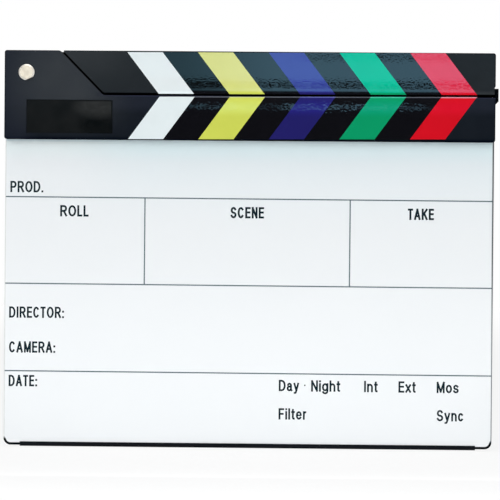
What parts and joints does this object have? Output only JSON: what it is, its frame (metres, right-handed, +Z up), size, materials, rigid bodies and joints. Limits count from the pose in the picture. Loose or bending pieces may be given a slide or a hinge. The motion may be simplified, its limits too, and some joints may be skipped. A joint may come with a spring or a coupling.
{
  "type": "clapperboard",
  "caption": "Film slate with a white writing board and two striped clap sticks, the upper one hinged at the left between the cheeks of the lower and open to upright.",
  "frame": {"origin": "middle of the bottom edge, under the edge guard, halfway through the board's thickness", "axes": "+X along the sticks to their free end, +Y from front to back, +Z up from the board to the sticks"},
  "size_m": [0.2114, 0.014, 0.17],
  "materials": {
    "acrylic": "satin white cast acrylic",
    "stick_black": "fine moulded grain",
    "screw_steel": "bright zinc",
    "hinge_nickel": "satin nickel",
    "washer_nylon": "natural nylon",
    "trim_black": "satin black",
    "label_black": "gloss black, bare",
    "film_white": "gloss self-adhesive film",
    "film_yellow": "gloss self-adhesive film",
    "film_blue": "gloss self-adhesive film",
    "film_green": "gloss self-adhesive film",
    "film_red": "gloss self-adhesive film",
    "film_black": "gloss self-adhesive film"
  },
  "bodies": {
    "slate": {"board": "acrylic", "front_bar": "stick_black", "rear_bar": "stick_black", "clamp_screws": "screw_steel", "hinge_screw": "screw_steel", "hinge_barrel": "hinge_nickel", "front_hinge_washer": "washer_nylon", "rear_hinge_washer": "washer_nylon", "bottom_trim": "trim_black", "end_catch": "trim_black", "name_label": "label_black", "lower_stripe_white": "film_white", "lower_stripe_black_1": "film_black", "lower_stripe_yellow": "film_yellow", "lower_stripe_black_2": "film_black", "lower_stripe_blue": "film_blue", "lower_stripe_black_3": "film_black", "lower_stripe_green": "film_green", "lower_stripe_black_4": "film_black", "lower_stripe_red": "film_red"},
    "clapper": {"upper_stick": "stick_black", "upper_stripe_white": "film_white", "upper_stripe_black_1": "film_black", "upper_stripe_yellow": "film_yellow", "upper_stripe_black_2": "film_black", "upper_stripe_blue": "film_blue", "upper_stripe_black_3": "film_black", "upper_stripe_green": "film_green", "upper_stripe_black_4": "film_black", "upper_stripe_red": "film_red"}
  },
  "joints": [
    {"name": "clapper_hinge", "type": "hinge", "parent": "slate", "child": "clapper", "pos_m": [-0.09555, 0, 0.16055], "axis": [0, -1, 0], "range_deg": [0, 90]}
  ]
}
